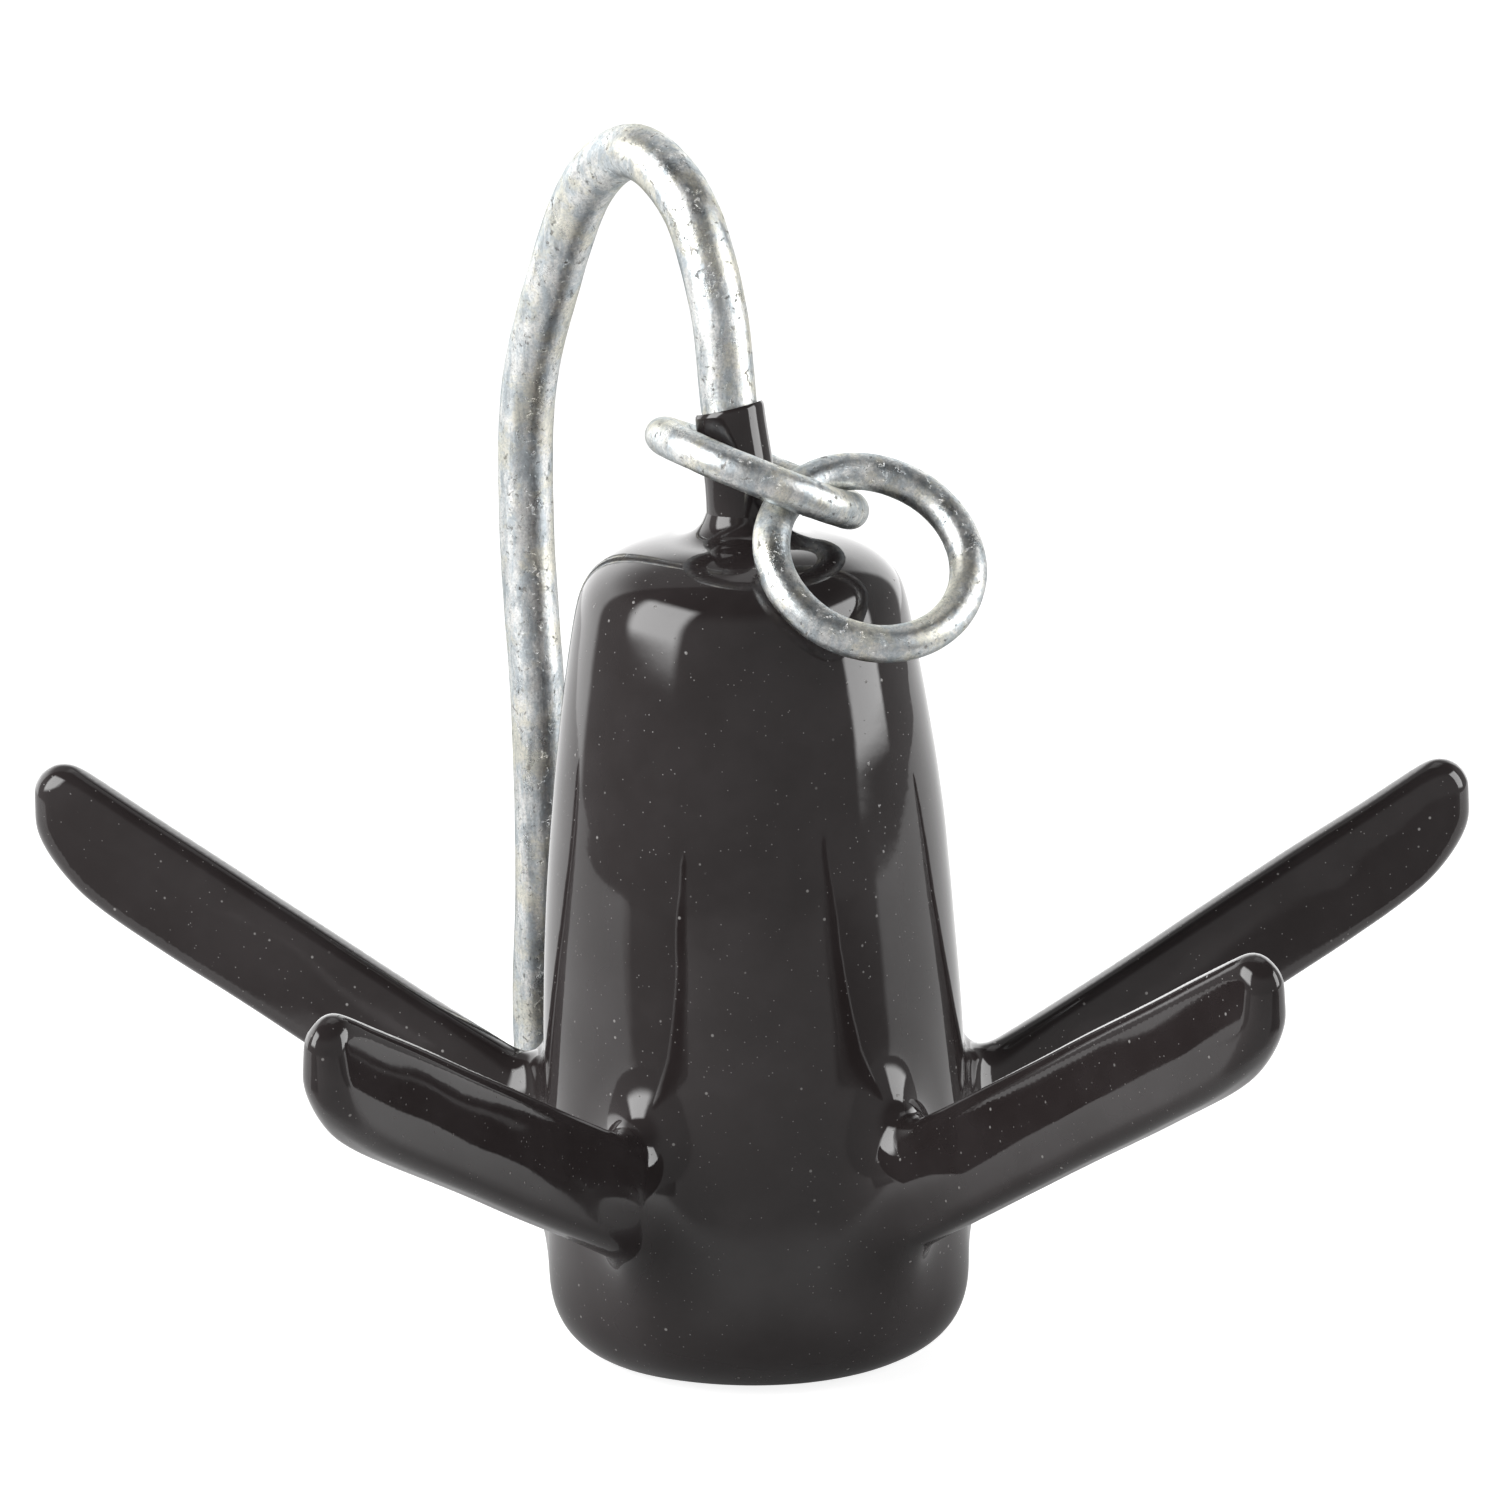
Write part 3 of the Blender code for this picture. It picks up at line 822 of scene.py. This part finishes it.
def floor_material():
    """A plain pale lit floor to the camera.

    Reflections find it greyer in front of the object, with a painted shadow round its base and two
    painted dark sectors, which give the vinyl the dark bands between its bright ones.
    """
    n = Nodes("pale_floor")
    place = n.split(n.place)
    bearing = n.bearing(place)
    length = n.node("ShaderNodeVectorMath", operation="LENGTH")
    n.link(n.place, length.inputs[0])
    reach = length.outputs["Value"]
    plain = (FLOOR_TONE,) * 3

    side = n.ramp(n.math("ABSOLUTE", bearing), *map(math.radians, FRONT_SIDE))
    front = n.ramp(place["Y"], *FRONT_EDGE, 1.0, 0.0)
    front = n.math("MULTIPLY", front, n.math("SUBTRACT", 1.0, side))
    far = n.ramp(place["Y"], *FAR_EDGE, 0.0, FAR_GLOW)
    glow = n.math("ADD", n.ramp(front, 0.0, 1.0, FLOOR_GLOW, FRONT_GLOW), far)
    tone = n.mix(front, plain, FRONT_TONE)

    # Two painted dark sectors on the floor, seen only in reflections.
    outside = n.ramp(reach, *PAINTED_DARK_START)
    for start, end in PAINTED_DARK_SECTORS:
        after = n.ramp(bearing, *faded_edge(start))
        before = n.ramp(bearing, *faded_edge(end), 1.0, 0.0)
        sector = n.product(after, before, outside)
        tone = n.mix(sector, tone, PAINTED_DARK_TONE)
        glow = n.math("MULTIPLY", glow, n.math("SUBTRACT", 1.0, sector))
    # Painted shadow: the glow is dimmed round the object's base, seen only in reflections.
    glow = n.math("MULTIPLY", glow, n.ramp(reach, *PAINTED_SHADOW_REACH, PAINTED_SHADOW_GLOW, 1.0))

    seen = n.camera_ray()
    tone = n.mix(seen, tone, plain)
    glow = n.math("MULTIPLY", glow, n.math("SUBTRACT", 1.0, seen))
    glow = n.math("ADD", glow, n.math("MULTIPLY", seen, SEEN_GLOW))
    n.set(Base_Color=tone, Roughness=0.9, Emission_Strength=glow)
    n.set(Emission_Color=(1.0, 1.0, 1.0, 1.0))
    return n.material


# ------------------------------------------------------------------ pieces


def make_skin(vinyl):
    """The dipped skin over the body and its flukes."""
    solids = [lathe_solid(body_profile(), LATHE_SEGMENTS)]
    for _, bearing, slope, tip in FLUKES:
        outline = fluke_outline(math.radians(slope), tip)
        solids.append(slab_solid(outline, bearing_frame(bearing), FLUKE_WIDTH / 2))
    field = SkinField()
    sideways = bearing_frame(HOOP_BEARING)[1]
    for path in (field.neck, field.foot):
        solids.append(tube(path, [SLEEVE_RADIUS] * len(path), COLLAR_SIDES, sideways))
    rough = mesh_from("skin_rough", *joined(solids))
    faces_outward(rough)
    first = remeshed(rough, FIRST_VOXEL)
    draw_onto(first, field)
    mesh = remeshed(first, VOXEL)
    draw_onto(mesh, field)
    mesh.name = "vinyl_skin"
    skin = add_piece("vinyl_skin", mesh, vinyl)
    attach(skin, "anchor")
    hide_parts("body_coat", *[f"fluke_coat_{side}" for side, *_ in FLUKES])


def sleeve_surface(path, lean):
    """Points and faces of a sleeve. Its last rings lean, and its cut end is flat round the rod."""
    stations, sides = SLEEVE_STATIONS, SLEEVE_SIDES
    line = resampled(path, 0.0, path_lengths(path)[-1], stations)
    rng = np.random.default_rng(SLEEVE_SEED)
    angles = np.linspace(0, 2 * math.pi, sides, endpoint=False)
    swell = sum(
        np.cos(k * angles + rng.uniform(0, 6)) * rng.uniform(0.3, 1.0) * SLEEVE_SWELL
        for k in SLEEVE_LOBES
    )
    radii = np.full((stations, sides), SLEEVE_RADIUS) + swell
    wave = SLEEVE_WAVE * np.sin(np.linspace(0, 1, stations) * SLEEVE_WAVE_TURN)
    radii += wave[:, None] * np.cos(angles)[None, :]
    radii[-2] -= CUT_ROUNDS[0]
    radii[-1] -= CUT_ROUNDS[1]
    points, faces = tube(line, radii, sides, bearing_frame(HOOP_BEARING)[1])

    end = (line[-1] - line[-2]) / np.linalg.norm(line[-1] - line[-2])
    rings = points.reshape(stations, sides, 3)
    for s in range(stations):
        share = max(0.0, (s / (stations - 1) - CUT_START) / (1 - CUT_START))
        offset = (rings[s] - line[s]) @ np.array(lean)
        rings[s] += share * offset[:, None] * end
    mouth = line[-1] + (rings[-1] - line[-1]) * (ROD_RADIUS / SLEEVE_RADIUS)
    deep = mouth - end * CUT_DEPTH

    faces.pop()
    last, start = (stations - 1) * sides, stations * sides
    for k in range(sides):
        beside = (k + 1) % sides
        faces.append((last + k, last + beside, start + beside, start + k))
        faces.append((start + k, start + beside, start + sides + beside, start + sides + k))
    faces.append(tuple(range(start + sides, start + 2 * sides)))
    return np.concatenate([points, mouth, deep]), faces


def make_sleeve(name, node, path, lean, vinyl):
    """A length of vinyl left on the rod, with a slightly slanted knife cut at its far end."""
    mesh = mesh_from(name, *sleeve_surface(path, lean))
    faces_outward(mesh)
    piece = add_piece(name, mesh, vinyl)
    mesh.set_sharp_from_angle(angle=math.radians(SHARP_ANGLE))
    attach(piece, "anchor")
    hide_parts(node)


def make_sleeves(vinyl):
    path = hoop_path(HOOP_STEPS)
    top = int(np.argmax(path[:, 2]))
    span = (NECK_SLEEVE_START, NECK_SLEEVE_TOP - NECK_CUT_TRIM)
    neck = resampled(path, *np.interp(span, path[:top, 2], path_lengths(path)[:top]), NECK_POINTS)
    make_sleeve("neck_sleeve_cut", "neck_sleeve", neck, NECK_CUT_LEAN, vinyl)

    back = path[::-1]
    reach = np.hypot(back[:, 0], back[:, 1])
    far = int(np.argmax(reach))
    span = (FOOT_SLEEVE_START, FOOT_SLEEVE_REACH - FOOT_CUT_TRIM)
    foot = resampled(back, *np.interp(span, reach[:far], path_lengths(back)[:far]), FOOT_POINTS)
    make_sleeve("foot_sleeve_cut", "foot_sleeve", foot, FOOT_CUT_LEAN, vinyl)


def make_rod(zinc):
    """The hoop: a hot-dipped bar, a little uneven along its length."""
    path = hoop_path(HOOP_STEPS)
    line = resampled(path, 0.0, path_lengths(path)[-1], ROD_STATIONS)
    angles = np.linspace(0, 2 * math.pi, ROD_SIDES, endpoint=False)
    ring = np.stack([np.cos(angles), np.sin(angles)], axis=1) * ROD_RADIUS
    around = np.repeat(ring[None, :, :], ROD_STATIONS, axis=0)
    along = np.repeat(path_lengths(line)[:, None, None], ROD_SIDES, axis=1)
    spots = np.concatenate([around, along], axis=2).reshape(-1, 3)
    uneven = sum(ripples(spots, *wave) for wave in ROD_WAVES)
    radii = ROD_RADIUS + uneven.reshape(ROD_STATIONS, ROD_SIDES)
    mesh = mesh_from("hoop_bar", *tube(line, radii, ROD_SIDES, bearing_frame(HOOP_BEARING)[1]))
    faces_outward(mesh)
    rod = add_piece("hoop_bar", mesh, zinc)
    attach(rod, "anchor")
    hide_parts("hoop_rod")


def ring_surface(seam, seed):
    """Points and faces of a wire ring bent round and welded, with the weld's narrow seam."""
    turn = np.linspace(0, 2 * math.pi, RING_STATIONS, endpoint=False)
    section = np.linspace(0, 2 * math.pi, RING_SIDES, endpoint=False)
    t, s = np.meshgrid(turn, section, indexing="ij")
    middle = RING_RADIUS * np.cos(t), RING_RADIUS * np.sin(t)
    spots = np.stack([*middle, RING_WIRE_RADIUS * np.sin(s)], axis=2).reshape(-1, 3)
    uneven = sum(ripples(spots, seed + k, *wave) for k, wave in enumerate(RING_WAVES))
    wire = RING_WIRE_RADIUS - RING_INSET + uneven.reshape(RING_STATIONS, RING_SIDES)
    gap = np.angle(np.exp(1j * (t - math.radians(seam)))) * RING_RADIUS
    wire = wire - SEAM_GROOVE[0] * np.exp(-((gap / SEAM_GROOVE[1]) ** 2))
    wire = wire + SEAM_BEAD[0] * np.exp(-((gap / SEAM_BEAD[1]) ** 2))
    out = RING_RADIUS + wire * np.cos(s)
    points = np.stack([out * np.cos(t), out * np.sin(t), wire * np.sin(s)], axis=2).reshape(-1, 3)
    faces = []
    for i in range(RING_STATIONS):
        here, ahead = i * RING_SIDES, (i + 1) % RING_STATIONS * RING_SIDES
        for k in range(RING_SIDES):
            beside = (k + 1) % RING_SIDES
            faces.append((here + k, ahead + k, ahead + beside, here + beside))
    return points, faces


def make_ring(name, node, body, centre, tilt, seam, seed, zinc):
    mesh = mesh_from(name, *ring_surface(seam, seed))
    faces_outward(mesh)
    ring = add_piece(name, mesh, zinc)
    ring.location = centre
    ring.rotation_euler = (math.radians(tilt[0]), math.radians(tilt[1]), 0)
    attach(ring, body)
    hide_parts(node)


# ------------------------------------------------------------------ studio


def make_stage():
    rim = arc((0.0, 0.0), (FLOOR_REACH, FLOOR_REACH), 180, 360, FLOOR_RIM_POINTS)
    rim = np.concatenate([rim, [(FLOOR_REACH, FLOOR_BACK), (-FLOOR_REACH, FLOOR_BACK)]])
    mesh = mesh_from("floor", [(x, y, 0.0) for x, y in rim], [tuple(range(len(rim)))])
    floor = add_piece("floor", mesh, floor_material())


def soften_edges(light, edge):
    """Fades a rectangular light over a share of its width at each edge."""
    light.use_nodes = True
    n = Tree(light.node_tree)
    place = n.split(n.node("ShaderNodeNewGeometry").outputs["Parametric"])
    fades = []
    for axis in "XY":
        off_middle = n.math("ABSOLUTE", n.math("SUBTRACT", place[axis], 0.5))
        fades.append(n.ramp(off_middle, 0.5 - edge, 0.5, 1.0, 0.0))
    n.link(n.product(*fades), n.tree.nodes["Emission"].inputs["Strength"])


def direction(azimuth, elevation):
    """Unit vector towards an azimuth, from the front towards the right, and an elevation."""
    a, e = math.radians(azimuth), math.radians(elevation)
    return Vector((math.sin(a) * math.cos(e), -math.cos(a) * math.cos(e), math.sin(e)))


def softbox(name, azimuth, elevation, distance, size, radiance, edge):
    """A rectangular area light that looks at the object and is equally bright from anywhere."""
    light = bpy.data.lights.new(name, "AREA")
    light.shape = "RECTANGLE"
    light.size, light.size_y = size
    light.energy = radiance * math.pi * size[0] * size[1]
    soften_edges(light, edge)
    made = bpy.data.objects.new(name, light)
    bpy.context.scene.collection.objects.link(made)
    target = Vector(LIGHT_TARGET)
    position = target + direction(azimuth, elevation) * distance
    made.location = position
    made.rotation_euler = (target - position).to_track_quat("-Z", "Y").to_euler()


def make_world():
    """White to the camera. Reflections see a dim room with two tall white screens behind."""
    world = bpy.data.worlds.new("studio")
    bpy.context.scene.world = world
    world.use_nodes = True
    n = Tree(world.node_tree)
    n.tree.nodes.clear()

    place = n.split(n.node("ShaderNodeTexCoord").outputs["Generated"])
    azimuth = n.bearing(place)
    left = n.ramp(azimuth, *map(math.radians, LEFT_SCREEN), 1.0, 0.0)
    right = n.ramp(azimuth, *map(math.radians, RIGHT_SCREEN))
    screens = n.ramp(n.math("MAXIMUM", left, right), 0.0, 1.0, ROOM_LIGHT, SCREEN_LIGHT)
    above = n.ramp(place["Z"], *SCREEN_TOP, 1.0, CEILING_SHARE)

    room, white = n.node("ShaderNodeBackground"), n.node("ShaderNodeBackground")
    for background in (room, white):
        background.inputs["Color"].default_value = (1, 1, 1, 1)
    n.link(n.math("MULTIPLY", screens, above), room.inputs["Strength"])
    mixed = n.node("ShaderNodeMixShader")
    n.link(n.camera_ray(), mixed.inputs[0])
    n.link(room.outputs[0], mixed.inputs[1])
    n.link(white.outputs[0], mixed.inputs[2])
    n.link(mixed.outputs[0], n.node("ShaderNodeOutputWorld").inputs["Surface"])


def make_lights():
    """Big soft boxes on the left and right, and a faint one high up behind."""
    for box in SOFTBOXES:
        softbox(*box)
    make_world()
    bpy.context.scene.view_settings.view_transform = "Standard"


def make_camera():
    """Low front view from about 14 degrees up, with a slight roll."""
    data = bpy.data.cameras.new("camera")
    data.lens = CAMERA_LENS
    data.sensor_width = CAMERA_SENSOR
    data.clip_start, data.clip_end = CAMERA_CLIP
    camera = bpy.data.objects.new("camera", data)
    bpy.context.scene.collection.objects.link(camera)
    place, aim = Vector(CAMERA_PLACE), Vector(CAMERA_AIM)
    level = (aim - place).to_track_quat("-Z", "Y").to_matrix().to_4x4()
    roll = Matrix.Rotation(math.radians(CAMERA_ROLL), 4, "Z")
    camera.matrix_world = Matrix.Translation(place) @ level @ roll
    bpy.context.scene.camera = camera


# ------------------------------------------------------------------ the scene

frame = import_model()

make_camera()
vinyl = vinyl_material()
zinc = zinc_material()
iron = frame["nodes"]["iron_casting"].data
iron.materials.clear()
iron.materials.append(iron_material())

make_skin(vinyl)
make_sleeves(vinyl)
make_rod(zinc)
for name, body, centre, tilt, seam, seed in RINGS:
    make_ring(name, body, body, centre, tilt, seam, seed, zinc)
make_stage()
make_lights()
